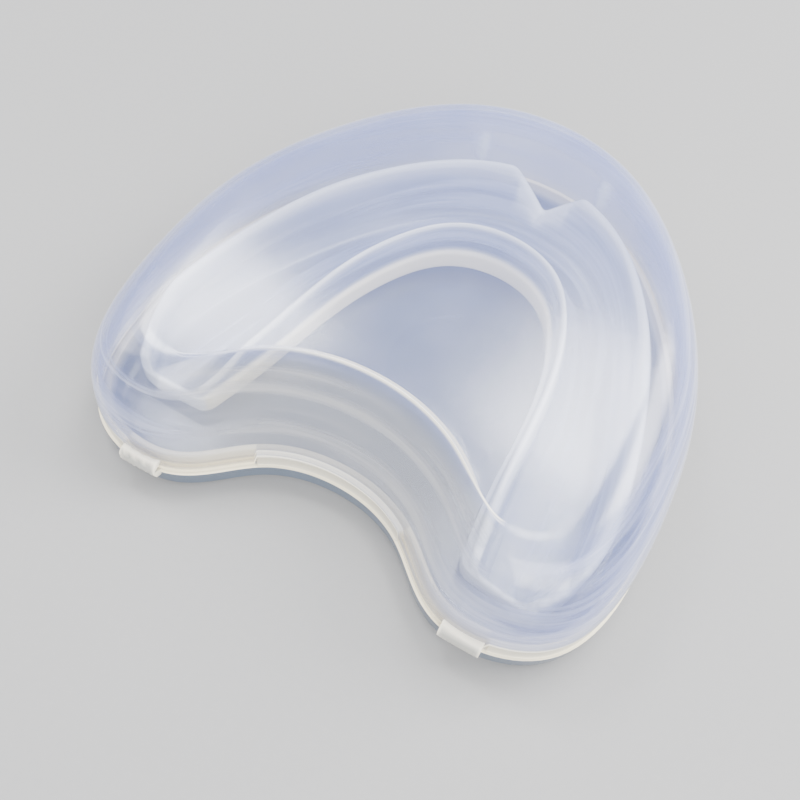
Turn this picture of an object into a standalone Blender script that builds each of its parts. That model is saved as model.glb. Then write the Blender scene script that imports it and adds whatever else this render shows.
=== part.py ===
"""Mouthguard in its hinged storage case: a deep domed lid on a shallow tray, with the guard inside.

The case is a kidney in plan. Its front is at -Y, its two rear lobes and the living hinges are at +Y,
and it stands on the tray's flat underside at z = 0.
"""

import math

import bmesh
import bpy
import numpy as np
from mathutils import Matrix, Vector

MM = 0.001

# Half of the case's outline, from the middle of the front round a rear lobe to the middle of the bay.
OUTLINE_HALF = (
    (0.0, -41.4),
    (20.6, -33.3),
    (36.8, -6.9),
    (40.0, 14.65),
    (34.7, 35.95),
    (19.8, 39.5),
    (10.4, 32.6),
    (0.0, 29.65),
)
# Places along OUTLINE_HALF, counted in its points.
FRONT_END = 1.5
BAY_START = 4.0
BAY_WIDTH = 2.0
LOBE_TIP = 4.45
LOBE_WIDTH = 1.2
SPINE_END = (23.0, 21.0)  # the middle of a lobe, where the flat faces of the shells close up
SPINE_MIDDLE_Y = -4.0
QUARTER_STATIONS = 25  # stations from the middle of the front, or of the bay, to a lobe's tip

FLOOR_THICKNESS = 0.95
# The tray's outside, as (inset, height) corners from its underside up to its ledge.
TRAY_OUTSIDE = ((1.3, 0.0), (0.55, 0.2), (0.25, 0.7), (0.15, 2.3), (0.05, 2.45))
LEDGE_HEIGHT = 3.2
LEDGE_INSET = 0.05
LIP_HEIGHT = 5.6
LIP_THICKNESS = 0.8
LIP_CHAMFER = 0.25
KEY_INSET = 0.4  # the keys on the lip that stand in the cut-outs of the lid's edge
KEY_HEIGHT = 5.0
FLOOR_FILLET_HEIGHT = 1.05
FLOOR_FILLET_WIDTH = 1.4
CLEARANCE = 0.35

LID_THICKNESS = 0.8
LID_EDGE_HEIGHT = 3.55
LID_EDGE_INSET = 0.3
LID_SKIRT_TOP = 6.1
WINDOW_RISE = 1.8
BAY_WINDOW_HALF = 10.5
SIDE_WINDOW_START = 27.0
SIDE_WINDOW_END_Y = 12.0
CROWN_HEIGHT = 22.6
CROWN_Y = -10.0
CROWN_FALL = 0.0021
SHOULDER_INSET = 10.4
SHOULDER_POWER = 2.25
LOBE_SHOULDER_LESS = 1.3  # how much further the flat top reaches at a lobe's tip
BAY_SLOPE_INSET = 6.9
DOME_STEPS = 8
CAP_STEPS = 4

THUMB_HALF_WIDTH = 12.0
THUMB_DEPTH = 0.6
THUMB_TOP = 14.0
THUMB_SIDE_RAMP = 1.5
THUMB_TOP_RAMP = 4.0

HINGE_X = 23.7
HINGE_WIDTH = 5.6
HINGE_Y = 41.35
HINGE_Z = 4.2
LEAF_THICKNESS = 0.8
LEAF_GAP = 0.3
LEAF_REACH = 1.35  # how far each leaf reaches from the fold
LEAF_CHAMFER = 0.12

GUARD_INNER_HALF = (
    (0.0, -17.9),
    (8.6, -14.9),
    (14.3, -5.6),
    (17.1, 6.0),
    (18.4, 18.0),
    (19.5, 25.2),
    (20.6, 31.0),
)
GUARD_OUTER_HALF = (
    (0.0, -31.4),
    (12.6, -27.3),
    (23.2, -15.4),
    (30.2, -0.8),
    (34.4, 14.0),
    (34.9, 25.0),
    (32.0, 31.8),
)
GUARD_TURN = -4.5  # degrees that the guard lies turned in its case
GUARD_SHIFT = (-1.0, -0.6)
GUARD_BOTTOM = 1.3
GUARD_PLATE = 3.0
GUARD_STATIONS = 20
TONGUE_WALL_FRONT = 8.8
TONGUE_WALL_REAR = 4.6
LIP_WALL_FRONT = 12.8
LIP_WALL_REAR = 5.4
FRENUM_DEPTH = 7.0
FRENUM_HALF_WIDTH = 6.2
GUARD_EDGE = 0.8  # chamfer along the guard's lower edges
GUARD_FILLET = 0.9  # between the channel's floor and its walls
LIP_WALL_THICKNESS = 1.9
TONGUE_WALL_THICKNESS = 2.2
LIP_FLARE = 0.5
WALLS_FALL = (-12.0, 38.0)  # where the walls start to get lower, and over what length
LEGS_END = (18.0, 12.0)


def spline(points, places, closed):
    """Points on the smooth curve through the given ones. A place of 2.5 is midway from point 2 to point 3."""
    points = np.array(points, float)
    if closed:
        points = np.vstack([points, points[:1]])
    spans = np.sqrt(np.linalg.norm(np.diff(points, axis=0), axis=1))
    count = len(points)
    matrix = np.zeros((count, count))
    right = np.zeros((count, 2))
    slopes = np.diff(points, axis=0) / spans[:, None]
    for i in range(1, count - 1):
        matrix[i, i - 1] = spans[i]
        matrix[i, i] = 2 * (spans[i - 1] + spans[i])
        matrix[i, i + 1] = spans[i - 1]
        right[i] = 3 * (spans[i] * slopes[i - 1] + spans[i - 1] * slopes[i])
    if closed:
        matrix[0, 0] = 2 * (spans[0] + spans[-1])
        matrix[0, 1] = spans[-1]
        matrix[0, -2] = spans[0]
        right[0] = 3 * (spans[0] * slopes[-1] + spans[-1] * slopes[0])
        matrix[-1, 0] = 1
        matrix[-1, -1] = -1
    else:
        matrix[0, 0] = 2
        matrix[0, 1] = 1
        right[0] = 3 * slopes[0]
        matrix[-1, -1] = 2
        matrix[-1, -2] = 1
        right[-1] = 3 * slopes[-1]
    tangents = np.linalg.solve(matrix, right)
    found = []
    for place in places:
        i = min(int(place), count - 2)
        t = place - i
        leave = (t**3 - 2 * t**2 + t) * spans[i] * tangents[i]
        arrive = (t**3 - t**2) * spans[i] * tangents[i + 1]
        share = 3 * t**2 - 2 * t**3
        found.append((1 - share) * points[i] + leave + share * points[i + 1] + arrive)
    return np.array(found)


def mirrored(half):
    """The half outline and its mirror image, as one closed round of points."""
    return list(half) + [(-x, y) for x, y in half[-2:0:-1]]


def ease(value):
    value = min(max(value, 0.0), 1.0)
    return value * value * (3 - 2 * value)


class Station:
    """One place on the outline, with the spine point that the flat faces close up to there."""

    def __init__(self, place, share, side, point):
        self.point = Vector((point[0], point[1]))
        drop = (SPINE_END[1] - SPINE_MIDDLE_Y) * (1 - share**2)
        self.spine = Vector((side * SPINE_END[0] * share, SPINE_END[1] - drop))
        self.bay = ease((place - BAY_START) / BAY_WIDTH)
        self.tip = ease(1 - abs(place - LOBE_TIP) / LOBE_WIDTH)
        self.front = place < FRONT_END
        self.rear = place > BAY_START


def make_stations():
    """Stations all the way round. Those in front and in the rear pair up on the spine."""
    half = len(OUTLINE_HALF) - 1
    quarter = [i / QUARTER_STATIONS for i in range(QUARTER_STATIONS + 1)]
    right = [(LOBE_TIP * share, share) for share in quarter]
    right += [(half - (half - LOBE_TIP) * share, share) for share in quarter[-2::-1]]
    around = [(place, share, 1) for place, share in right]
    around += [(place, share, -1) for place, share in right[-2:0:-1]]
    places = [place if side == 1 else 2 * half - place for place, share, side in around]
    points = spline(mirrored(OUTLINE_HALF), places, closed=True)
    stations = [Station(*where, point) for where, point in zip(around, points)]
    for i, station in enumerate(stations):
        along = stations[(i + 1) % len(stations)].point - stations[i - 1].point
        station.normal = Vector((-along.y, along.x)).normalized()
    return stations


def inset(station, distance):
    """The point this far in from the outline."""
    return station.point + station.normal * distance


def crown(y):
    """Height of the lid's top at this distance from front to rear."""
    return CROWN_HEIGHT - CROWN_FALL * max(y - CROWN_Y, 0.0) ** 2


def in_window(station):
    """Whether the lid's edge is cut back here, so that the tray's lip shows."""
    x, y = abs(station.point.x), station.point.y
    bay = station.rear and x < BAY_WINDOW_HALF
    side = y > SIDE_WINDOW_END_Y and x > SIDE_WINDOW_START
    return bay or side


def thumb_recess(station, height):
    """How far the front of the lid is pressed in here, for a thumb to push against."""
    if not station.front or height > THUMB_TOP:
        return 0.0
    across = ease((THUMB_HALF_WIDTH + 1.0 - abs(station.point.x)) / THUMB_SIDE_RAMP)
    down = ease((THUMB_TOP - height) / THUMB_TOP_RAMP) * ease((height - LID_SKIRT_TOP) / THUMB_SIDE_RAMP)
    return THUMB_DEPTH * across * down


def lid_rings(stations):
    """Rings of the lid's outer face, from its lower edge up to the middle of its top."""
    rings = []
    edge = []
    skirt = []
    for station in stations:
        low = LID_EDGE_HEIGHT + WINDOW_RISE * in_window(station)
        flat = inset(station, LID_EDGE_INSET)
        edge.append((flat.x, flat.y, low))
        skirt.append((flat.x, flat.y, LID_SKIRT_TOP))
    rings += [edge, skirt]
    for step in range(1, DOME_STEPS + 1):
        turn = 0.5 * math.pi * step / DOME_STEPS
        rise = math.sin(turn) ** (2 / SHOULDER_POWER)
        ring = []
        for station in stations:
            shoulder = SHOULDER_INSET - LOBE_SHOULDER_LESS * station.tip
            round_in = shoulder * (1 - abs(math.cos(turn)) ** (2 / SHOULDER_POWER))
            distance = LID_EDGE_INSET + round_in * (1 - station.bay) + BAY_SLOPE_INSET * rise * station.bay
            full = LID_EDGE_INSET + shoulder + (BAY_SLOPE_INSET - shoulder) * station.bay
            top = crown(inset(station, full).y)
            height = LID_SKIRT_TOP + (top - LID_SKIRT_TOP) * rise
            flat = inset(station, distance + thumb_recess(station, height))
            ring.append((flat.x, flat.y, height))
        rings.append(ring)
    plateau = rings[-1]
    for step in range(1, CAP_STEPS + 1):
        ring = []
        for station, corner in zip(stations, plateau):
            flat = Vector(corner[:2]).lerp(station.spine, step / CAP_STEPS)
            ring.append((flat.x, flat.y, crown(flat.y)))
        rings.append(ring)
    return rings


def tray_section(lip_outer, lip_inner, key):
    """The tray's wall as (inset, height) corners, from its underside over its lip to its floor."""
    front = KEY_INSET if key else lip_outer
    top = KEY_HEIGHT if key else LEDGE_HEIGHT + 0.4 * (KEY_HEIGHT - LEDGE_HEIGHT)
    return TRAY_OUTSIDE + (
        (LEDGE_INSET, LEDGE_HEIGHT),
        (front, LEDGE_HEIGHT),
        (front, top),
        (lip_outer, top),
        (lip_outer, LIP_HEIGHT - LIP_CHAMFER),
        (lip_outer + LIP_CHAMFER, LIP_HEIGHT),
        (lip_inner, LIP_HEIGHT),
        (lip_inner, FLOOR_THICKNESS + FLOOR_FILLET_HEIGHT),
        (lip_inner + 0.35 * FLOOR_FILLET_WIDTH, FLOOR_THICKNESS + 0.3 * FLOOR_FILLET_HEIGHT),
        (lip_inner + FLOOR_FILLET_WIDTH, FLOOR_THICKNESS),
    )


def tray_rings(stations):
    """Rings of the tray, from the middle of its underside round its wall to the middle of its floor."""
    lip_outer = LID_EDGE_INSET + LID_THICKNESS + CLEARANCE
    lip_inner = lip_outer + LIP_THICKNESS
    windows = [in_window(station) for station in stations]
    sections = []
    for i in range(len(stations)):
        key = windows[i - 1] and windows[i] and windows[(i + 1) % len(stations)]
        sections.append(tray_section(lip_outer, lip_inner, key))
    wall = []
    for corners in zip(*sections):
        ring = []
        for station, (distance, height) in zip(stations, corners):
            flat = inset(station, distance)
            ring.append((flat.x, flat.y, height))
        wall.append(ring)

    def cap(ring, share):
        made = []
        for station, corner in zip(stations, ring):
            flat = Vector(corner[:2]).lerp(station.spine, share)
            made.append((flat.x, flat.y, corner[2]))
        return made

    return [cap(wall[0], 1.0), cap(wall[0], 0.5)] + wall + [cap(wall[-1], 0.5), cap(wall[-1], 1.0)]


def loft(name, rings, closed_ring=True):
    """A mesh object whose faces join each ring to the next, in millimetres made metres."""
    mesh = bmesh.new()
    rows = [[mesh.verts.new(Vector(point) * MM) for point in ring] for ring in rings]
    for lower, upper in zip(rows, rows[1:]):
        count = len(lower)
        for i in range(count if closed_ring else count - 1):
            j = (i + 1) % count
            mesh.faces.new((lower[i], lower[j], upper[j], upper[i]))
    bmesh.ops.remove_doubles(mesh, verts=mesh.verts, dist=0.00002)
    bmesh.ops.dissolve_degenerate(mesh, edges=mesh.edges, dist=0.00002)
    bmesh.ops.recalc_face_normals(mesh, faces=mesh.faces)
    data = bpy.data.meshes.new(name)
    mesh.to_mesh(data)
    mesh.free()
    data.shade_smooth()
    data.set_sharp_from_angle(angle=math.radians(35))
    return bpy.data.objects.new(name, data)


def material(name, colour, roughness, transmission):
    made = bpy.data.materials.new(name)
    made.use_nodes = True
    shader = made.node_tree.nodes["Principled BSDF"]
    shader.inputs["Base Color"].default_value = (*colour, 1.0)
    shader.inputs["Roughness"].default_value = roughness
    shader.inputs["Metallic"].default_value = 0.0
    shader.inputs["Transmission Weight"].default_value = transmission
    return made


def finish_object(obj, collection, colour, roughness, transmission):
    collection.objects.link(obj)
    obj.data.materials.append(material(obj.name + "_plastic", colour, roughness, transmission))
    return obj


def make_tray(stations, collection):
    tray = loft("base_tray", tray_rings(stations))
    return finish_object(tray, collection, (0.62, 0.67, 0.74), 0.35, 0.6)


def make_lid(stations, collection):
    lid = loft("lid_shell", lid_rings(stations))
    shell = lid.modifiers.new("wall", "SOLIDIFY")
    shell.thickness = LID_THICKNESS * MM
    shell.offset = -1.0
    shell.use_even_offset = False
    return finish_object(lid, collection, (0.76, 0.78, 0.88), 0.3, 0.7)


def make_leaf(name, side, low, high, collection):
    """Half of a living hinge's strap, flat against the outside of a lobe."""
    mesh = bmesh.new()
    bmesh.ops.create_cube(mesh, size=1.0)
    size = Vector((HINGE_WIDTH, LEAF_THICKNESS, high - low)) * MM
    centre = Vector((side * HINGE_X, HINGE_Y - LEAF_THICKNESS / 2, (low + high) / 2)) * MM
    bmesh.ops.scale(mesh, vec=size, verts=mesh.verts)
    bmesh.ops.translate(mesh, vec=centre, verts=mesh.verts)
    data = bpy.data.meshes.new(name)
    mesh.to_mesh(data)
    mesh.free()
    leaf = bpy.data.objects.new(name, data)
    bevel = leaf.modifiers.new("edges", "BEVEL")
    bevel.width = LEAF_CHAMFER * MM
    bevel.segments = 1
    return finish_object(leaf, collection, (0.86, 0.86, 0.84), 0.4, 0.3)


def make_hinges(collection):
    """Two straps on one line. Each is two leaves that meet, with a small gap, at the fold."""
    fold = LEAF_GAP / 2
    leaves = {"base": [], "lid": []}
    for side, word in ((-1, "left"), (1, "right")):
        low = make_leaf(f"hinge_{word}_base_leaf", side, HINGE_Z - LEAF_REACH, HINGE_Z - fold, collection)
        high = make_leaf(f"hinge_{word}_lid_leaf", side, HINGE_Z + fold, HINGE_Z + LEAF_REACH, collection)
        leaves["base"].append(low)
        leaves["lid"].append(high)
    return leaves


def guard_section(width, tongue_wall, lip_wall, flare):
    """The guard's channel across the bite: (distance from the tongue side, height above its underside)."""
    lip = width + flare
    channel_tongue = TONGUE_WALL_THICKNESS + GUARD_FILLET
    channel_lip = width - LIP_WALL_THICKNESS - GUARD_FILLET
    return (
        (GUARD_EDGE, 0.0),
        (width - GUARD_EDGE, 0.0),
        (width, GUARD_EDGE),
        (lip, lip_wall - GUARD_EDGE),
        (lip - GUARD_EDGE, lip_wall),
        (lip - LIP_WALL_THICKNESS, lip_wall - GUARD_EDGE / 2),
        (channel_lip, GUARD_PLATE + GUARD_FILLET),
        (channel_lip - GUARD_FILLET, GUARD_PLATE),
        (channel_tongue + GUARD_FILLET / 2, GUARD_PLATE),
        (channel_tongue - GUARD_FILLET / 2, GUARD_PLATE + GUARD_FILLET),
        (TONGUE_WALL_THICKNESS, tongue_wall - GUARD_EDGE / 2),
        (TONGUE_WALL_THICKNESS - GUARD_EDGE, tongue_wall),
        (GUARD_EDGE / 2, tongue_wall - GUARD_EDGE / 2),
        (0.0, GUARD_EDGE),
    )


def make_guard(collection):
    """A horseshoe with an upward channel for the upper teeth, notched at the front for the lip's frenum."""
    half = len(GUARD_INNER_HALF) - 1
    places = [2 * half * i / (2 * GUARD_STATIONS) for i in range(2 * GUARD_STATIONS + 1)]

    def whole(points):
        return [(-x, y) for x, y in points[:0:-1]] + list(points)

    inner = spline(whole(GUARD_INNER_HALF), places, closed=False)
    outer = spline(whole(GUARD_OUTER_HALF), places, closed=False)
    turn = Matrix.Rotation(math.radians(GUARD_TURN), 3, "Z")
    rings = []
    for tongue_side, lip_side in zip(inner, outer):
        tongue_side = Vector((tongue_side[0], tongue_side[1], 0.0))
        lip_side = Vector((lip_side[0], lip_side[1], 0.0))
        across = lip_side - tongue_side
        width = across.length
        across.normalize()
        back = ease((lip_side.y - WALLS_FALL[0]) / WALLS_FALL[1])
        end = ease((lip_side.y - LEGS_END[0]) / LEGS_END[1])
        fall = (back + end) / 2
        tongue_wall = TONGUE_WALL_FRONT + (TONGUE_WALL_REAR - TONGUE_WALL_FRONT) * fall
        lip_wall = LIP_WALL_FRONT + (LIP_WALL_REAR - LIP_WALL_FRONT) * fall
        if lip_side.y < 0:
            lip_wall -= FRENUM_DEPTH * max(1 - abs(lip_side.x) / FRENUM_HALF_WIDTH, 0.0)
        flare = LIP_FLARE * (1 - end)
        ring = []
        for distance, height in guard_section(width, tongue_wall, lip_wall, flare):
            point = turn @ (tongue_side + across * distance)
            ring.append((point.x + GUARD_SHIFT[0], point.y + GUARD_SHIFT[1], GUARD_BOTTOM + height))
        rings.append(ring)
    guard = loft("mouthguard", rings)
    mesh = bmesh.new()
    mesh.from_mesh(guard.data)
    ends = [edge for edge in mesh.edges if edge.is_boundary]
    bmesh.ops.holes_fill(mesh, edges=ends, sides=0)
    bmesh.ops.recalc_face_normals(mesh, faces=mesh.faces)
    bmesh.ops.triangulate(mesh, faces=mesh.faces)
    mesh.to_mesh(guard.data)
    mesh.free()
    return finish_object(guard, collection, (0.86, 0.89, 0.93), 0.28, 0.6)


def main():
    for obj in list(bpy.data.objects):
        bpy.data.objects.remove(obj, do_unlink=True)
    bpy.context.scene.unit_settings.scale_length = 1.0
    collection = bpy.data.collections.new("mouthguard_with_case")
    bpy.context.scene.collection.children.link(collection)

    stations = make_stations()
    make_tray(stations, collection)
    lid = make_lid(stations, collection)
    leaves = make_hinges(collection)
    make_guard(collection)

    hinge_line = bpy.data.objects.new("lid_hinge_line", None)
    hinge_line.location = (0.0, HINGE_Y * MM, HINGE_Z * MM)
    collection.objects.link(hinge_line)
    for piece in [lid] + leaves["lid"]:
        piece.parent = hinge_line
        piece.matrix_parent_inverse = Matrix.Translation(hinge_line.location).inverted()


main()
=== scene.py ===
"""Looks of the mouthguard in its hinged case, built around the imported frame.

Lengths are in millimetres until a mesh is made. The case's front is at -Y and its hinges at +Y.
"""

import math

import bmesh
import bpy
import numpy as np
from mathutils import Matrix, Vector


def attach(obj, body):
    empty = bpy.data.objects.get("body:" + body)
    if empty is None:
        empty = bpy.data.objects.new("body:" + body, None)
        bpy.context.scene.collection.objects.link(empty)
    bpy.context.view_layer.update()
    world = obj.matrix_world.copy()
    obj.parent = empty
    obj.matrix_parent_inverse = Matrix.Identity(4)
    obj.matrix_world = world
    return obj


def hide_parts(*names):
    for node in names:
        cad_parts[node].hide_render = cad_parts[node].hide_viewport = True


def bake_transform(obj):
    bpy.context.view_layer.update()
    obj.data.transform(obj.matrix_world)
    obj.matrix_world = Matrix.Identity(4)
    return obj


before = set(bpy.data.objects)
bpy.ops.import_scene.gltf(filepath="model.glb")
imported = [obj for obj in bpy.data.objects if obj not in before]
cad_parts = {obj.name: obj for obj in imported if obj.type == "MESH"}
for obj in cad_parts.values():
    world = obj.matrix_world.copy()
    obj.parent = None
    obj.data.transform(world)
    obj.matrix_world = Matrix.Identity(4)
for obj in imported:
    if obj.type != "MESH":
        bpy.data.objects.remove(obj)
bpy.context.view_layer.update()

MM = 0.001

# The outlines and sizes repeat those of the CAD model.
OUTLINE_HALF = (
    (0.0, -41.4),
    (20.6, -33.3),
    (36.8, -6.9),
    (40.0, 14.65),
    (34.7, 35.95),
    (19.8, 39.5),
    (10.4, 32.6),
    (0.0, 29.65),
)
LOBE_TIP = 4.45  # place of a lobe's tip along OUTLINE_HALF, counted in its points
SPINE_END = (22.0, 21.0)
SPINE_MIDDLE_Y = -4.0
QUARTER_STATIONS = 66

LEDGE_HEIGHT = 3.2
LIP_HEIGHT = 5.6
LIP_INSET = 1.45
LIP_THICKNESS = 0.8
KEY_INSET = 0.4
KEY_TOP = 5.0
FLOOR_THICKNESS = 0.95
FLOOR_RING_CENTRE = (-4.8, 1.3)
FLOOR_RING_RADIUS = 10.5
FLOOR_RING_WIDTH = 1.2

LID_THICKNESS = 0.8
LID_EDGE_HEIGHT = 3.55
LID_EDGE_INSET = 0.3
LID_SKIRT_TOP = 6.1
WINDOW_RISE = 1.8
BAY_WINDOW_HALF = 10.5
SIDE_WINDOW_START = 27.0
SIDE_WINDOW_END_Y = 12.0
CROWN_HEIGHT = 22.6
CROWN_Y = -10.0
CROWN_FALL = 0.0021
SHOULDER_INSET = 10.4
SHOULDER_POWER = 2.25
LOBE_SHOULDER_LESS = 1.3
BAY_SLOPE_INSET = 6.9
CREASE_WIDTH = 0.3
DOME_STEPS = 26
CAP_STEPS = 12

THUMB_HALF_WIDTH = 12.0
THUMB_DEPTH = 0.6
THUMB_TOP = 14.0

HINGE_X = 23.7
HINGE_WIDTH = 5.6
HINGE_Z = 4.2
STRAP_FACE_Y = 41.0
STRAP_END = 0.3  # how far the strap's ends stand out from the outline
STRAP_ROOT = 0.4  # how far the strap's ends reach into the outline, to join the ledge and the lid's edge
STRAP_SIDE_MOST = 33.0
STRAP_WEB = 0.28
STRAP_REACH = 1.35
STRAP_DROP = 0.25  # how much further the strap reaches down, over the ledge
STRAP_WIDTH_STEPS = 14

GUARD_INNER_HALF = (
    (0.0, -17.9),
    (8.6, -14.9),
    (14.3, -5.6),
    (17.1, 6.0),
    (18.4, 18.0),
    (19.5, 25.2),
    (20.6, 31.0),
)
GUARD_OUTER_HALF = (
    (0.0, -31.4),
    (12.6, -27.3),
    (23.2, -15.4),
    (30.2, -0.8),
    (34.4, 14.0),
    (34.9, 25.0),
    (32.0, 31.8),
)
GUARD_TURN = -4.5
GUARD_SHIFT = (-1.0, -0.6)
GUARD_BOTTOM = 1.3
GUARD_PLATE = 3.0
GUARD_BAND = 3.5
GUARD_STATIONS = 150
TONGUE_WALL_FRONT = 8.8
TONGUE_WALL_REAR = 4.6
LIP_WALL_FRONT = 12.8
LIP_WALL_REAR = 5.4
FRENUM_DEPTH = 7.0
FRENUM_HALF_WIDTH = 6.2
LEG_CORNER = 1.9  # radius in plan of the corners at the ends of the legs
LEG_STEP = 0.9  # how far the channel's walls stop short of the plate's end

CLOUD_SCALE = 61.0  # cells per metre
RIPPLE_SCALE = 240.0
FLOW_LINES_FADE = 24.0  # the lines of flow fade from here, in the measure called flow
FLOW_LINES_END = 28.0
PALE_HAZE = (0.95, 0.97, 1.0)
WARM_HAZE = (0.36, 0.37, 0.37)
# Colour of the painted highlight along the outlines, where a face is seen edge on.
RIM_HIGHLIGHT_WHITE = (0.9, 0.93, 1.0)
COOL_WHITE = (0.96, 0.98, 1.0)
CREAM = (1.0, 0.91, 0.68)
# Painted shade for the tray's outer wall below the ledge.
TRAY_WALL_SHADE_COLOUR = (0.12, 0.155, 0.21)

FLOOR_GAP = 0.05  # keeps the floor and the tray's flat underside from sharing one plane
CLEAR_LAYERS = 32  # a ray meets up to this many clear faces on its way through the case and the guard

CAMERA_AIM = (-1.092, 14.195, 5.395)
CAMERA_AZIMUTH = 201.764
CAMERA_ELEVATION = 54.65
CAMERA_ROLL = 8.468
CAMERA_DISTANCE = 117.126
CAMERA_LENS = 37.348


def spline(points, places, closed):
    """Points on the smooth curve through the given ones. Place 2.5 is midway from point 2 to point 3."""
    points = np.array(points, float)
    if closed:
        points = np.vstack([points, points[:1]])
    spans = np.sqrt(np.linalg.norm(np.diff(points, axis=0), axis=1))
    count = len(points)
    matrix = np.zeros((count, count))
    right = np.zeros((count, 2))
    slopes = np.diff(points, axis=0) / spans[:, None]
    for i in range(1, count - 1):
        matrix[i, i - 1] = spans[i]
        matrix[i, i] = 2 * (spans[i - 1] + spans[i])
        matrix[i, i + 1] = spans[i - 1]
        right[i] = 3 * (spans[i] * slopes[i - 1] + spans[i - 1] * slopes[i])
    if closed:
        matrix[0, 0] = 2 * (spans[0] + spans[-1])
        matrix[0, 1] = spans[-1]
        matrix[0, -2] = spans[0]
        right[0] = 3 * (spans[0] * slopes[-1] + spans[-1] * slopes[0])
        matrix[-1, 0] = 1
        matrix[-1, -1] = -1
    else:
        matrix[0, 0] = 2
        matrix[0, 1] = 1
        right[0] = 3 * slopes[0]
        matrix[-1, -1] = 2
        matrix[-1, -2] = 1
        right[-1] = 3 * slopes[-1]
    tangents = np.linalg.solve(matrix, right)
    found = []
    for place in places:
        i = min(int(place), count - 2)
        t = place - i
        start = (2 * t**3 - 3 * t**2 + 1) * points[i] + (t**3 - 2 * t**2 + t) * spans[i] * tangents[i]
        end = (3 * t**2 - 2 * t**3) * points[i + 1] + (t**3 - t**2) * spans[i] * tangents[i + 1]
        found.append(start + end)
    return np.array(found)


def ease(value):
    value = min(max(value, 0.0), 1.0)
    return value * value * (3 - 2 * value)


def bump_at(value, middle, half_width):
    """1 at the middle, falling smoothly to 0 this far either side."""
    return ease(1 - abs(value - middle) / half_width)


class Station:
    """One place on the case's outline, with the spine point that the flat faces close up to there."""

    def __init__(self, place, share, side, point):
        self.place = place
        self.side = side
        self.point = Vector((point[0], point[1]))
        drop = (SPINE_END[1] - SPINE_MIDDLE_Y) * (1 - share**2)
        self.spine = Vector((side * SPINE_END[0] * share, SPINE_END[1] - drop))
        self.bay = ease((place - 4) / 2)
        self.tip = ease(1 - abs(place - LOBE_TIP) / 1.2)
        self.front = place < 1.5
        self.rear = place > 4


def make_stations():
    """Stations all the way round. Those in front and in the rear pair up on the spine."""
    half = len(OUTLINE_HALF) - 1
    quarter = [i / QUARTER_STATIONS for i in range(QUARTER_STATIONS + 1)]
    right = [(LOBE_TIP * share, share) for share in quarter]
    right += [(half - (half - LOBE_TIP) * share, share) for share in quarter[-2::-1]]
    around = [(place, share, 1) for place, share in right]
    around += [(place, share, -1) for place, share in right[-2:0:-1]]
    outline = list(OUTLINE_HALF) + [(-x, y) for x, y in OUTLINE_HALF[-2:0:-1]]
    places = [place if side == 1 else 2 * half - place for place, share, side in around]
    points = spline(outline, places, closed=True)
    stations = [Station(*where, point) for where, point in zip(around, points)]
    for i, station in enumerate(stations):
        along = stations[(i + 1) % len(stations)].point - stations[i - 1].point
        station.normal = Vector((-along.y, along.x)).normalized()
    return stations


def inset(station, distance):
    """The point this far in from the outline."""
    return station.point + station.normal * distance


def shell_corner(station, flat, height, milk_and_highlight=0.0, warmth=0.0):
    """A corner of the tray or the lid, which were both filled along their outline."""
    return (flat.x, flat.y, height, milk_and_highlight, warmth, height + (flat - station.point).length)


def mesh_from_rings(name, rings, caps=False):
    """An object that joins each ring to the next. A corner is (x, y, z, milk_and_highlight, warmth, flow).

    milk_and_highlight is how white the plastic is there: partly its own milkiness where it is thick, partly
    painted highlight and glow along edges, creases and steps. warmth is how cream that white is, and flow
    the distance across the way the plastic ran in its mould.
    """
    mesh = bmesh.new()
    milk_and_highlight = mesh.verts.layers.float.new("milk_and_highlight")
    warmth = mesh.verts.layers.float.new("warmth")
    flow = mesh.verts.layers.float.new("flow")
    rows = []
    for ring in rings:
        row = []
        for corner in ring:
            vert = mesh.verts.new(Vector(corner[:3]) * MM)
            vert[milk_and_highlight], vert[warmth], vert[flow] = corner[3:]
            row.append(vert)
        rows.append(row)
    for lower, upper in zip(rows, rows[1:]):
        count = len(lower)
        for i in range(count):
            j = (i + 1) % count
            mesh.faces.new((lower[i], lower[j], upper[j], upper[i]))
    if caps:
        mesh.faces.new(rows[0][::-1])
        mesh.faces.new(rows[-1])
    bmesh.ops.remove_doubles(mesh, verts=mesh.verts, dist=0.000004)
    bmesh.ops.dissolve_degenerate(mesh, edges=mesh.edges, dist=0.000004)
    bmesh.ops.recalc_face_normals(mesh, faces=mesh.faces)
    data = bpy.data.meshes.new(name)
    mesh.to_mesh(data)
    mesh.free()
    made = bpy.data.objects.new(name, data)
    bpy.context.scene.collection.objects.link(made)
    return made


def apply_modifiers(obj, smooth_angle):
    """Makes the object's mesh what its modifiers give, shaded smooth up to that angle in degrees."""
    graph = bpy.context.evaluated_depsgraph_get()
    made = bpy.data.meshes.new_from_object(obj.evaluated_get(graph))
    obj.modifiers.clear()
    obj.data = made
    made.name = obj.name
    made.shade_smooth()
    made.set_sharp_from_angle(angle=math.radians(smooth_angle))
    return obj


# ---- the lid ----


def crown(y):
    """Height of the lid's top at this distance from front to rear."""
    return CROWN_HEIGHT - CROWN_FALL * max(y - CROWN_Y, 0.0) ** 2


def window_share(station):
    """1 where the lid's edge is cut back, so that the tray's lip shows, and 0 elsewhere."""
    x, y = abs(station.point.x), station.point.y
    bay = station.rear and x < BAY_WINDOW_HALF
    side = y > SIDE_WINDOW_END_Y and x > SIDE_WINDOW_START
    return 1.0 if bay or side else 0.0


def thumb_recess(station, height):
    """How far the front of the lid is pressed in here, for a thumb to push against."""
    if not station.front or height > THUMB_TOP:
        return 0.0
    across = ease((THUMB_HALF_WIDTH + 0.5 - abs(station.point.x)) / 1.0)
    down = ease((THUMB_TOP - height) / 4.0) * ease((height - LID_SKIRT_TOP) / 1.5)
    return THUMB_DEPTH * across * down


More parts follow.
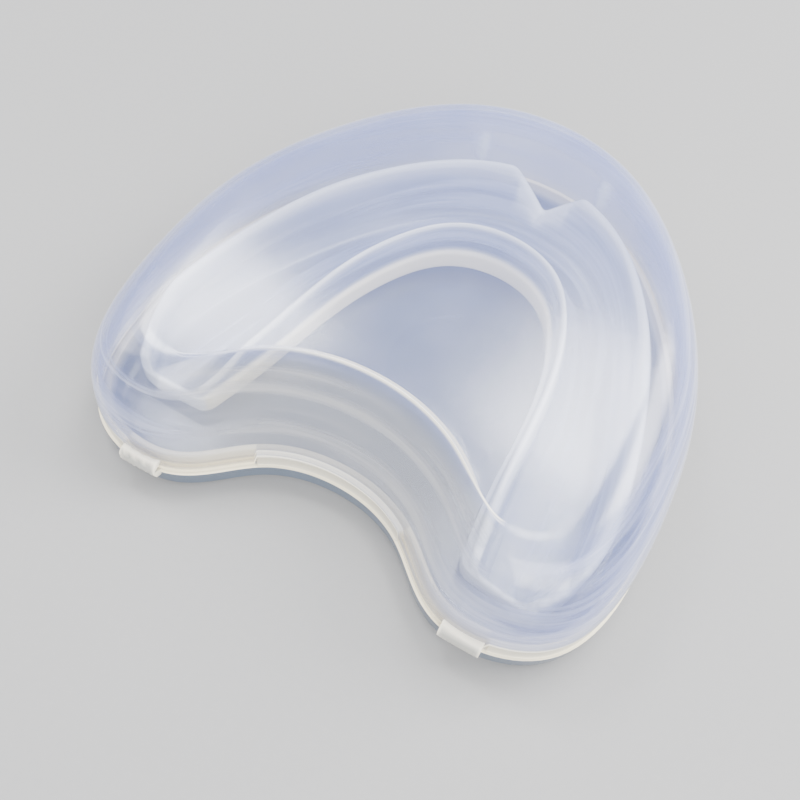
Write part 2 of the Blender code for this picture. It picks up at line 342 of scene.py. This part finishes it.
def lid_skirt_rings(stations):
    """The lid's lower edge and its upright skirt."""
    rings = []
    for share in (0.0, 0.12, 0.3, 0.55, 0.8, 1.0):
        ring = []
        for station in stations:
            window = window_share(station)
            low = LID_EDGE_HEIGHT + WINDOW_RISE * window
            flat = inset(station, LID_EDGE_INSET)
            height = low + (LID_SKIRT_TOP - low) * share
            above = height - low
            # The lower edge is painted white: partly the milky plastic of its bead, partly painted glow of
            # light scattered along it.
            milk_and_highlight = 0.95 * ease(1.25 - above / 0.9) if not window else 0.9 * ease(1.3 - above / 0.5)
            ring.append(shell_corner(station, flat, height, milk_and_highlight, 1.0 - 0.5 * window))
        rings.append(ring)
    return rings


def lid_dome_rings(stations):
    """The lid from the top of its skirt, over its shoulder and along its top to the spine."""
    rings = []
    for step in range(1, DOME_STEPS + 1):
        turn = 0.5 * math.pi * step / DOME_STEPS
        rise = math.sin(turn) ** (2 / SHOULDER_POWER)
        ring = []
        for station in stations:
            shoulder = SHOULDER_INSET - LOBE_SHOULDER_LESS * station.tip
            round_in = shoulder * (1 - abs(math.cos(turn)) ** (2 / SHOULDER_POWER))
            distance = LID_EDGE_INSET + round_in + (BAY_SLOPE_INSET * rise - round_in) * station.bay
            full = LID_EDGE_INSET + shoulder + (BAY_SLOPE_INSET - shoulder) * station.bay
            top = crown(inset(station, full).y)
            height = LID_SKIRT_TOP + (top - LID_SKIRT_TOP) * rise
            flat = inset(station, distance + thumb_recess(station, height))
            # Painted highlight: a thin white, cream line along the crease where the bay's slope meets the
            # top.
            crease_highlight = ease((station.bay - 0.2) / 0.4) * ease(1 - (full - distance) / CREASE_WIDTH)
            crease_highlight *= ease((station.point.x + 22) / 5) * (1 - 0.6 * ease((station.point.x - 1) / 10))
            slope = station.bay * ease((full - distance) / 1.5)
            # Painted highlight: white strips down the two edges of the thumb recess, where light catches its
            # steps.
            thumb_edge_highlight = 0.0
            if station.front:
                beside = bump_at(abs(station.point.x), THUMB_HALF_WIDTH, 1.3)
                below_top = ease((THUMB_TOP - height) / 2.0)
                thumb_edge_highlight = 0.9 * beside * below_top * ease((height - LID_SKIRT_TOP) / 2.0)
            milk_and_highlight = max(0.7 * crease_highlight, 0.08 * slope, thumb_edge_highlight)
            ring.append(shell_corner(station, flat, height, milk_and_highlight, max(0.6 * crease_highlight, slope)))
        rings.append(ring)
    plateau = rings[-1]
    shares = [0.5 * CREASE_WIDTH / SPINE_END[1]]
    shares += [step / CAP_STEPS for step in range(1, CAP_STEPS + 1)]
    for share in shares:
        ring = []
        for station, corner in zip(stations, plateau):
            flat = Vector(corner[:2]).lerp(station.spine, share)
            ring.append(shell_corner(station, flat, crown(flat.y)))
        rings.append(ring)
    return rings


def make_lid(stations):
    lid = mesh_from_rings("case_lid", lid_skirt_rings(stations) + lid_dome_rings(stations))
    wall = lid.modifiers.new("wall", "SOLIDIFY")
    wall.thickness = LID_THICKNESS * MM
    wall.offset = -1.0
    wall.use_even_offset = False
    soften = lid.modifiers.new("edges", "BEVEL")
    soften.width = 0.16 * MM
    soften.segments = 2
    soften.limit_method = "ANGLE"
    soften.angle_limit = math.radians(60)
    return apply_modifiers(lid, 40)


# ---- the tray ----


def rounded(section, radius, steps=3):
    """The run of (distance, height) corners, with each one but the two ends turned into a small arc."""
    made = [section[0]]
    for before, corner, after in zip(section, section[1:], section[2:]):
        before, corner, after = Vector(before), Vector(corner), Vector(after)
        come = before - corner
        leave = after - corner
        cut = min(radius, 0.45 * come.length, 0.45 * leave.length)
        start = corner + come.normalized() * cut
        end = corner + leave.normalized() * cut
        for i in range(steps + 1):
            t = i / steps
            made.append(tuple((1 - t) ** 2 * start + 2 * t * (1 - t) * corner + t**2 * end))
    made.append(section[-1])
    return made


def tray_section(key_inset):
    """The tray's wall as (inset, height) corners, from its underside over its lip to its floor."""
    inner = LIP_INSET + LIP_THICKNESS
    return (
        (1.3, 0.0),
        (0.55, 0.2),
        (0.25, 0.7),
        (0.15, 2.3),
        (0.05, 2.5),
        (0.05, LEDGE_HEIGHT - 0.2),
        (0.05, LEDGE_HEIGHT),
        (key_inset, LEDGE_HEIGHT + 0.02),
        (key_inset, KEY_TOP),
        (LIP_INSET, KEY_TOP + 0.02),
        (LIP_INSET, LIP_HEIGHT),
        (inner, LIP_HEIGHT),
        (inner, 2.2),
        (inner + 0.4, 1.3),
        (inner + 1.6, FLOOR_THICKNESS),
        (inner + 2.4, FLOOR_THICKNESS),
    )


def tray_wall_rings(stations):
    """Rings of the tray's wall. Keys stand out from the lip where the lid's edge is cut back."""
    plain = rounded(tray_section(LIP_INSET - 0.02), 0.2)
    keyed = rounded(tray_section(KEY_INSET), 0.2)
    wall = [[] for corner in plain]
    for station in stations:
        inside = window_share(station)
        for ring, before, after in zip(wall, plain, keyed):
            distance = before[0] + (after[0] - before[0]) * inside
            height = before[1] + (after[1] - before[1]) * inside
            flat = inset(station, distance)
            # The ledge and the lip are painted white and cream: partly their milky plastic, partly painted
            # glow that lifts them out of the shade under the lid.
            ledge = ease((0.3 + 0.3 * inside - distance) / 0.15)
            ledge *= ease((height - LEDGE_HEIGHT + 0.2) / 0.15) * ease((3.6 - height) / 0.3)
            lip = ease((height - LEDGE_HEIGHT) / 0.4)
            milk_and_highlight = max((0.9 - 0.4 * inside) * ledge, (0.9 - 0.55 * inside) * lip)
            ring.append(shell_corner(station, flat, height, milk_and_highlight, max(ledge, lip)))
    return wall


def tray_rings(stations):
    """Rings of the tray, from the middle of its underside round its wall to the middle of its floor."""
    wall = tray_wall_rings(stations)
    rings = []
    for share in (1.0, 0.66, 0.33):
        rings.append(tray_cap(stations, wall[0], share))
    rings += wall
    for share in [0.06 * i for i in range(1, 17)] + [1.0]:
        rings.append(tray_cap(stations, wall[-1], share))
    return rings


def tray_cap(stations, ring, share):
    made = []
    for station, corner in zip(stations, ring):
        flat = Vector(corner[:2]).lerp(station.spine, share)
        made.append(shell_corner(station, flat, corner[2]))
    return made


def make_tray(stations):
    tray = mesh_from_rings("case_tray", tray_rings(stations))
    return apply_modifiers(tray, 40)


# ---- the hinge straps ----


def lobe_back(stations, x):
    """How far back the case's outline reaches at this x."""
    rear = [station.point for station in stations if station.rear and station.point.x * x > 0]
    rear = sorted((point.x, point.y) for point in rear if abs(point.x) < STRAP_SIDE_MOST)
    return float(np.interp(x, [point[0] for point in rear], [point[1] for point in rear]))


def strap_section(back, roughness, across):
    """The strap from side to side of its thin web: (y, z) corners, from the web's lower end round and back.

    back is where its ends join the tray and the lid.
    """
    web = STRAP_FACE_Y - STRAP_WEB
    fold = 0.2
    low = HINGE_Z - STRAP_REACH - STRAP_DROP + roughness * math.sin(across * 37.0) * 0.14
    high = HINGE_Z + STRAP_REACH + roughness * math.sin(across * 23.0 + 1.0) * 0.08
    out = STRAP_FACE_Y + roughness * 0.04 * math.sin(across * 51.0)
    end = back + STRAP_ROOT + STRAP_END
    return (
        (end, low),
        (0.3 * end + 0.7 * out, low + 0.4),
        (out, HINGE_Z - 0.5),
        (STRAP_FACE_Y, HINGE_Z - fold),
        (STRAP_FACE_Y, HINGE_Z),
        (STRAP_FACE_Y, HINGE_Z + fold),
        (out, HINGE_Z + 0.5),
        (0.4 * end + 0.6 * out, high - 0.3),
        (end - 0.1, high),
        (back, high),
        (back, HINGE_Z + 0.75),
        (web, HINGE_Z + fold),
        (web, HINGE_Z),
        (web, HINGE_Z - fold),
        (back, HINGE_Z - 0.75),
        (back, low),
    )


def make_strap(stations, word, side, roughness):
    """One living hinge: a strap with a thin web where it folds, below on the tray and above on the lid."""
    rings = []
    for i in range(STRAP_WIDTH_STEPS + 1):
        share = i / STRAP_WIDTH_STEPS
        x = side * HINGE_X + HINGE_WIDTH * (share - 0.5)
        ring = []
        for y, z in strap_section(lobe_back(stations, x) - STRAP_ROOT, roughness, share):
            end = ease((abs(z - HINGE_Z) - 0.9) / 0.4)
            rim = ease(1 - min(share, 1 - share) / 0.09)
            ring.append((x, y, z, 0.08 + 0.5 * max(end, rim), 0.6, x))
        rings.append(ring)
    strap = mesh_from_rings(f"hinge_strap_{word}", rings, caps=True)
    soften = strap.modifiers.new("edges", "BEVEL")
    soften.width = 0.08 * MM
    soften.segments = 2
    soften.limit_method = "ANGLE"
    soften.angle_limit = math.radians(50)
    return apply_modifiers(strap, 40)


# ---- the guard ----


def guard_section(width, tongue_wall, lip_wall, flare):
    """The guard across the bite: (distance from the tongue side, height above its underside,
    milk_and_highlight, warmth).

    milk_and_highlight falls from the rims of the two walls and along the plate's tongue side.
    """
    return (
        (0.7, 0.0, 0.5, 0.6),
        (2.4, 0.0, 0.0, 0.0),
        (width - 2.4, 0.0, 0.0, 0.0),
        (width - 0.7, 0.1, 0.3, 0.0),
        (width, 0.9, 0.4, 0.0),
        (width + 0.4 * flare, 0.4 * lip_wall, 0.1, 0.0),
        (width + 0.8 * flare, 0.75 * lip_wall, 0.15, 0.0),
        (width + flare, lip_wall - 0.7, 0.3, 0.0),
        (width + flare - 0.6, lip_wall, 0.6, 0.0),
        (width + flare - 1.7, lip_wall - 0.3, 0.5, 0.0),
        (width + flare - 2.0, lip_wall - 1.3, 0.3, 0.0),
        (width - 2.2, 0.5 * (GUARD_PLATE + lip_wall), 0.2, 0.0),
        (width - 2.5, GUARD_PLATE + 1.4, 0.05, 0.0),
        (width - 3.2, GUARD_PLATE + 0.25, 0.1, 0.0),
        (width - 4.2, GUARD_PLATE, 0.05, 0.0),
        (4.2, GUARD_PLATE, 0.05, 0.0),
        (3.2, GUARD_PLATE + 0.25, 0.1, 0.0),
        (2.7, GUARD_PLATE + 1.2, 0.1, 0.0),
        (2.25, tongue_wall - 0.5, 0.2, 0.0),
        (1.7, tongue_wall, 0.7, 0.2),
        (1.15, tongue_wall - 0.25, 0.6, 0.2),
        (0.95, tongue_wall - 0.9, 0.12, 0.0),
        (0.8, GUARD_BAND + 0.5, 0.12, 0.0),
        (0.6, GUARD_BAND + 0.05, 0.8, 0.8),
        (0.1, GUARD_BAND - 0.2, 0.95, 1.0),
        (0.0, GUARD_BAND - 0.6, 0.95, 1.0),
        (0.0, 0.7, 0.95, 1.0),
        (0.2, 0.15, 0.85, 0.9),
    )


def make_guard():
    """A horseshoe with an upward channel for the upper teeth, notched at the front for the lip's frenum."""
    half = len(GUARD_INNER_HALF) - 1
    places = [2 * half * i / GUARD_STATIONS for i in range(GUARD_STATIONS + 1)]

    def whole(points):
        return [(-x, y) for x, y in points[:0:-1]] + list(points)

    inner = spline(whole(GUARD_INNER_HALF), places, closed=False)
    outer = spline(whole(GUARD_OUTER_HALF), places, closed=False)
    middle = (inner + outer) / 2
    steps = np.linalg.norm(np.diff(middle, axis=0), axis=1)
    from_start = np.concatenate([[0.0], np.cumsum(steps)])
    to_end = np.minimum(from_start, from_start[-1] - from_start)
    turn = Matrix.Rotation(math.radians(GUARD_TURN), 3, "Z")
    rings = []
    for tongue_side, lip_side, from_end in zip(inner, outer, to_end):
        tongue_side = Vector((tongue_side[0], tongue_side[1], 0.0))
        lip_side = Vector((lip_side[0], lip_side[1], 0.0))
        across = lip_side - tongue_side
        width = across.length
        across.normalize()
        back = ease((lip_side.y + 12.0) / 38.0)
        end = ease((lip_side.y - 18.0) / 12.0)
        tongue_wall = TONGUE_WALL_FRONT + (TONGUE_WALL_REAR - TONGUE_WALL_FRONT) * (0.4 * back + 0.6 * end)
        lip_wall = LIP_WALL_FRONT + (LIP_WALL_REAR - LIP_WALL_FRONT) * (0.5 * back + 0.5 * end)
        notch = max(1 - abs(lip_side.x) / FRENUM_HALF_WIDTH, 0.0) if lip_side.y < 0 else 0.0
        lip_wall -= FRENUM_DEPTH * notch
        flare = 0.5 * (1 - end)
        leg = ease((-tongue_side.x - 8) / 6) * ease((tongue_side.y + 14) / 12)
        short = max(LEG_CORNER - from_end, 0.0)
        corner = LEG_CORNER - math.sqrt(max(LEG_CORNER**2 - short**2, 0.0))
        closing = ease((from_end - 0.4 * LEG_STEP) / LEG_STEP)
        ring = []
        for distance, height, milk_and_highlight, warmth in guard_section(width, tongue_wall, lip_wall, flare):
            share = distance / width
            distance = distance + corner * (1 - 2 * share)
            if height > GUARD_PLATE:
                height = GUARD_PLATE + (height - GUARD_PLATE) * closing
            point = turn @ (tongue_side + across * distance)
            rim = ease(1.4 - from_end / 0.7)
            if distance < 2.6 and height > 0:
                milk_and_highlight = max(milk_and_highlight, 0.8 * leg)
                warmth *= 1 - leg
            # Painted highlight: the lip wall round the frenum notch is painted white.
            if share > 0.6 and height > GUARD_PLATE + 1:
                up_wall = (height - GUARD_PLATE) / (lip_wall - GUARD_PLATE)
                milk_and_highlight = max(milk_and_highlight, 0.75 * ease(3 * notch) * ease(up_wall))
            ring.append((
                point.x + GUARD_SHIFT[0],
                point.y + GUARD_SHIFT[1],
                GUARD_BOTTOM + height,
                max(milk_and_highlight, 0.85 * rim),
                warmth * (1 - rim),
                share * width + height,
            ))
        rings.append(ring)
    guard = mesh_from_rings("mouthguard_moulding", rings, caps=True)
    smooth = guard.modifiers.new("soften", "SUBSURF")
    smooth.levels = 1
    smooth.render_levels = 1
    return apply_modifiers(guard, 60)


# ---- materials ----


class Nodes:
    """A material's node tree, with short ways to add nodes."""

    def __init__(self, name):
        self.material = bpy.data.materials.new(name)
        self.material.use_nodes = True
        self.tree = self.material.node_tree
        self.tree.nodes.clear()

    def add(self, kind, **inputs):
        node = self.tree.nodes.new(kind)
        for name, value in inputs.items():
            self.put(node, name.replace("_", " "), value)
        return node

    def put(self, node, socket, value):
        """Sets an input by name or number, from another node's output or with a value."""
        into = node.inputs[socket]
        if isinstance(value, bpy.types.NodeSocket):
            self.tree.links.new(value, into)
        else:
            into.default_value = value

    def attribute(self, name):
        node = self.add("ShaderNodeAttribute")
        node.attribute_name = name
        return node.outputs["Fac"]

    def math(self, operation, a, b=0.0, clamp=False):
        node = self.add("ShaderNodeMath")
        node.operation = operation
        node.use_clamp = clamp
        self.put(node, 0, a)
        self.put(node, 1, b)
        return node.outputs[0]

    def mix(self, share, a, b):
        node = self.add("ShaderNodeMix")
        node.data_type = "RGBA"
        self.put(node, 0, share)
        self.put(node, 6, a)
        self.put(node, 7, b)
        return node.outputs[2]

    def between(self, value, low, high, to_low=0.0, to_high=1.0):
        node = self.add("ShaderNodeMapRange")
        self.put(node, 0, value)
        self.put(node, 1, low)
        self.put(node, 2, high)
        self.put(node, 3, to_low)
        self.put(node, 4, to_high)
        return node.outputs[0]

    def noise(self, place, scale, detail=3.0, roughness=0.5):
        node = self.add("ShaderNodeTexNoise", Vector=place, Scale=scale, Detail=detail, Roughness=roughness)
        return node.outputs["Fac"]

    def flow_lines(self, place):
        """Noise drawn out along the way the plastic ran in its mould."""
        apart = self.add("ShaderNodeSeparateXYZ", Vector=place)
        along_x = self.math("MULTIPLY", apart.outputs["X"], 18.0)
        along_y = self.math("MULTIPLY", apart.outputs["Y"], 18.0)
        across = self.math("MULTIPLY", self.attribute("flow"), 0.3)
        joined = self.add("ShaderNodeCombineXYZ", X=along_x, Y=along_y, Z=across).outputs[0]
        return self.noise(joined, 1.0, 3.0, 0.55)

    def distance(self, a, b):
        node = self.add("ShaderNodeVectorMath")
        node.operation = "DISTANCE"
        self.put(node, 0, a)
        self.put(node, 1, b)
        return node.outputs["Value"]

    def shader_mix(self, share, a, b):
        node = self.add("ShaderNodeMixShader")
        self.put(node, 0, share)
        self.put(node, 1, a)
        self.put(node, 2, b)
        return node.outputs[0]

    def finish(self, surface):
        self.put(self.add("ShaderNodeOutputMaterial"), "Surface", surface)
        return self.material


def clear_plastic(name, haze, tint, body, edge, streak, roughness, gloss_roughness, disc=None):
    """Translucent moulded plastic: light passes where it is thin, and its milky parts scatter it.

    haze is its own colour, and tint the colour of what passes one face. body is how much of the light behind
    a plain wall is lost, edge how much more where it is seen edge on, and streak how much more in the flow
    lines of the mould. disc is the centre and radius of a faint ring in the tray's floor, and is given for
    the tray alone, whose outer wall below the ledge gets painted shade: a dark, denser colour.
    """
    n = Nodes(name)
    place = n.add("ShaderNodeTexCoord").outputs["Object"]
    milk_and_highlight = n.attribute("milk_and_highlight")
    warmth = n.attribute("warmth")

    clouds = n.noise(place, CLOUD_SCALE, 3.0, 0.5)
    whiter = n.between(clouds, 0.4, 0.75, 0.0, 0.5)
    lost = n.between(clouds, 0.3, 0.75, body * 0.8, body * 1.25)
    if streak:
        lines = n.between(n.flow_lines(place), 0.47, 0.62)
        lines = n.math("MULTIPLY", lines, n.between(n.attribute("flow"), FLOW_LINES_END, FLOW_LINES_FADE))
        whiter = n.math("MAXIMUM", whiter, lines)
        lost = n.math("ADD", lost, n.math("MULTIPLY", lines, streak))
    pale = tuple(0.55 * a + 0.45 * b for a, b in zip(haze, PALE_HAZE))
    colour = n.mix(whiter, (*haze, 1.0), (*pale, 1.0))
    colour = n.mix(n.math("MULTIPLY", warmth, 0.75), colour, (*WARM_HAZE, 1.0))

    slant = n.add("ShaderNodeLayerWeight", Blend=0.5).outputs["Facing"]
    lost = n.math("ADD", lost, n.math("MULTIPLY", n.math("POWER", slant, 2.5), edge))
    # Painted highlight: a thin white line along the outlines, where a face is seen edge on, which also makes
    # the plastic there denser.
    rim = n.math("MULTIPLY", n.math("POWER", slant, 9.0), 1.2, clamp=True)
    lost = n.math("ADD", lost, n.math("MULTIPLY", rim, 0.4))
    colour = n.mix(rim, colour, (*RIM_HIGHLIGHT_WHITE, 1.0))

    if disc:
        centre, radius = disc
        ring = n.math("ABSOLUTE", n.math("SUBTRACT", n.distance(place, centre), radius))
        lost = n.math("ADD", lost, n.between(ring, 0.0, FLOOR_RING_WIDTH * MM, 0.16, 0.0))
        # Painted shade: the tray's outer wall below the ledge is made dark and dense, for the shadow under
        # the lid's rim.
        wall = n.between(n.attribute("flow"), LEDGE_HEIGHT + 0.05, LEDGE_HEIGHT - 0.15)
        colour = n.mix(wall, colour, (*TRAY_WALL_SHADE_COLOUR, 1.0))
        lost = n.math("ADD", lost, n.math("MULTIPLY", wall, 0.8))

    # White and cream where milk_and_highlight is high: milky plastic, and painted highlight and glow.
    lost = n.math("ADD", lost, n.between(milk_and_highlight, 0.0, 0.9, 0.0, 0.97), clamp=True)
    milk_and_highlight_colour = n.mix(warmth, (*COOL_WHITE, 1.0), (*CREAM, 1.0))
    colour = n.mix(n.between(milk_and_highlight, 0.0, 0.5), colour, milk_and_highlight_colour)

    ripple = n.noise(place, RIPPLE_SCALE, 2.0, 0.4)
    bump = n.add("ShaderNodeBump", Strength=0.06, Distance=0.0002, Height=ripple).outputs[0]
    surface = n.add("ShaderNodeBsdfPrincipled", Base_Color=colour, Roughness=roughness, Normal=bump)
    through = n.add("ShaderNodeBsdfTranslucent", Color=colour, Normal=bump)
    share_through = n.between(milk_and_highlight, 0.0, 0.9, 0.4, 0.15)
    scatter = n.shader_mix(share_through, surface.outputs[0], through.outputs[0])
    clear = n.add("ShaderNodeBsdfTransparent", Color=(*tint, 1.0))
    seen = n.shader_mix(lost, clear.outputs[0], scatter)
    gloss = n.add("ShaderNodeBsdfGlossy", Color=(1, 1, 1, 1), Roughness=gloss_roughness, Normal=bump)
    mirror = n.math("MULTIPLY_ADD", n.math("POWER", slant, 5.0), 0.96)
    n.put(mirror.node, 2, 0.04)
    return n.finish(n.shader_mix(mirror, seen, gloss.outputs[0]))


def floor_material():
    n = Nodes("pale_floor")
    place = n.add("ShaderNodeTexCoord").outputs["Object"]
    grain = n.noise(place, 900.0, 3.0, 0.6)
    colour = n.mix(grain, (0.23, 0.232, 0.237, 1.0), (0.245, 0.247, 0.252, 1.0))
    shader = n.add("ShaderNodeBsdfPrincipled", Base_Color=colour, Roughness=0.6)
    return n.finish(shader.outputs[0])


# ---- the scene ----


def place_pieces():
    """Builds each visible piece, puts the lid, tray and guard on their bodies and hides the CAD nodes that
    each piece stands for.
    """
    stations = make_stations()
    lid_look = clear_plastic(
        "lid_polypropylene",
        haze=(0.21, 0.27, 0.64),
        tint=(0.98, 0.985, 0.995),
        body=0.13,
        edge=0.8,
        streak=0.36,
        roughness=0.4,
        gloss_roughness=0.2,
    )
    # The tray's dark haze, dim tint and dense body are painted shade: they make it darker than the lid's
    # same plastic, as if in the shade inside and under the case.
    tray_look = clear_plastic(
        "tray_polypropylene",
        haze=(0.1, 0.14, 0.22),
        tint=(0.9, 0.93, 0.97),
        body=0.34,
        edge=0.4,
        streak=0.0,
        roughness=0.45,
        gloss_roughness=0.15,
        disc=(tuple(MM * x for x in (*FLOOR_RING_CENTRE, FLOOR_THICKNESS)), FLOOR_RING_RADIUS * MM),
    )
    strap_look = clear_plastic(
        "strap_polypropylene",
        haze=(0.7, 0.73, 0.74),
        tint=(0.96, 0.97, 0.99),
        body=0.2,
        edge=0.4,
        streak=0.0,
        roughness=0.5,
        gloss_roughness=0.2,
    )
    guard_look = clear_plastic(
        "guard_eva",
        haze=(0.36, 0.45, 0.78),
        tint=(0.97, 0.98, 0.99),
        body=0.07,
        edge=0.4,
        streak=0.4,
        roughness=0.35,
        gloss_roughness=0.25,
    )

    lid = make_lid(stations)
    lid.data.materials.append(lid_look)
    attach(lid, "lid")
    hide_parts("lid_shell")

    tray = make_tray(stations)
    tray.data.materials.append(tray_look)
    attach(tray, "tray")
    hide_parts("base_tray")

    for side, word, roughness in ((-1, "left", 0.0), (1, "right", 1.0)):
        strap = make_strap(stations, word, side, roughness)
        strap.data.materials.append(strap_look)
        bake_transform(strap)
        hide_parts(f"hinge_{word}_base_leaf", f"hinge_{word}_lid_leaf")

    guard = make_guard()
    guard.data.materials.append(guard_look)
    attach(guard, "guard")
    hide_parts("mouthguard")


def make_floor():
    bpy.ops.mesh.primitive_plane_add(size=3.0, location=(0.0, 0.0, -FLOOR_GAP * MM))
    floor = bpy.context.object
    floor.name = "floor"
    floor.data.materials.append(floor_material())


def add_light(name, azimuth, elevation, distance, size, power, colour):
    """A soft square light aimed at the case. Azimuth 0 is on the -Y side and 90 on the +X side."""
    light = bpy.data.lights.new(name, "AREA")
    light.shape = "RECTANGLE"
    light.size, light.size_y = size
    light.energy = power
    light.color = colour
    lamp = bpy.data.objects.new(name, light)
    a, e = math.radians(azimuth), math.radians(elevation)
    back = Vector((math.sin(a) * math.cos(e), -math.cos(a) * math.cos(e), math.sin(e)))
    lamp.location = back * distance
    lamp.rotation_euler = back.to_track_quat("Z", "Y").to_euler()
    bpy.context.scene.collection.objects.link(lamp)


def make_light():
    world = bpy.data.worlds.new("studio")
    bpy.context.scene.world = world
    world.use_nodes = True
    background = world.node_tree.nodes["Background"]
    background.inputs["Color"].default_value = (0.92, 0.95, 1.0, 1.0)
    background.inputs["Strength"].default_value = 1.25
    add_light("window_light", 350.0, 64.0, 0.8, (0.27, 0.31), 7.0, (1.0, 0.99, 0.97))
    add_light("shoulder_light", 62.0, 59.0, 0.8, (0.2, 0.16), 3.4, (1.0, 0.99, 0.97))
    add_light("key_light", 310.0, 38.0, 0.75, (0.45, 0.35), 11.0, (1.0, 0.98, 0.95))
    add_light("side_light", 95.0, 40.0, 1.2, (1.0, 0.8), 12.0, (1.0, 0.96, 0.92))
    add_light("rear_light", 215.0, 35.0, 1.2, (1.4, 1.0), 40.0, (1.0, 0.98, 0.94))


def make_camera():
    camera = bpy.data.cameras.new("camera")
    camera.lens = CAMERA_LENS
    camera.sensor_width = 36.0
    camera.clip_start = 0.005
    camera.clip_end = 20.0
    holder = bpy.data.objects.new("camera", camera)
    a, e, r = (math.radians(x) for x in (CAMERA_AZIMUTH, CAMERA_ELEVATION, CAMERA_ROLL))
    back = Vector((math.sin(a) * math.cos(e), -math.cos(a) * math.cos(e), math.sin(e)))
    level = Vector((math.cos(a), math.sin(a), 0.0))
    upright = back.cross(level)
    right = level * math.cos(r) + upright * math.sin(r)
    up = upright * math.cos(r) - level * math.sin(r)
    place = Matrix((right, up, back)).transposed().to_4x4()
    place.translation = (Vector(CAMERA_AIM) + back * CAMERA_DISTANCE) * MM
    holder.matrix_world = place
    bpy.context.scene.collection.objects.link(holder)
    bpy.context.scene.camera = holder


bpy.context.scene.cycles.transparent_max_bounces = CLEAR_LAYERS
make_camera()
place_pieces()
make_floor()
make_light()
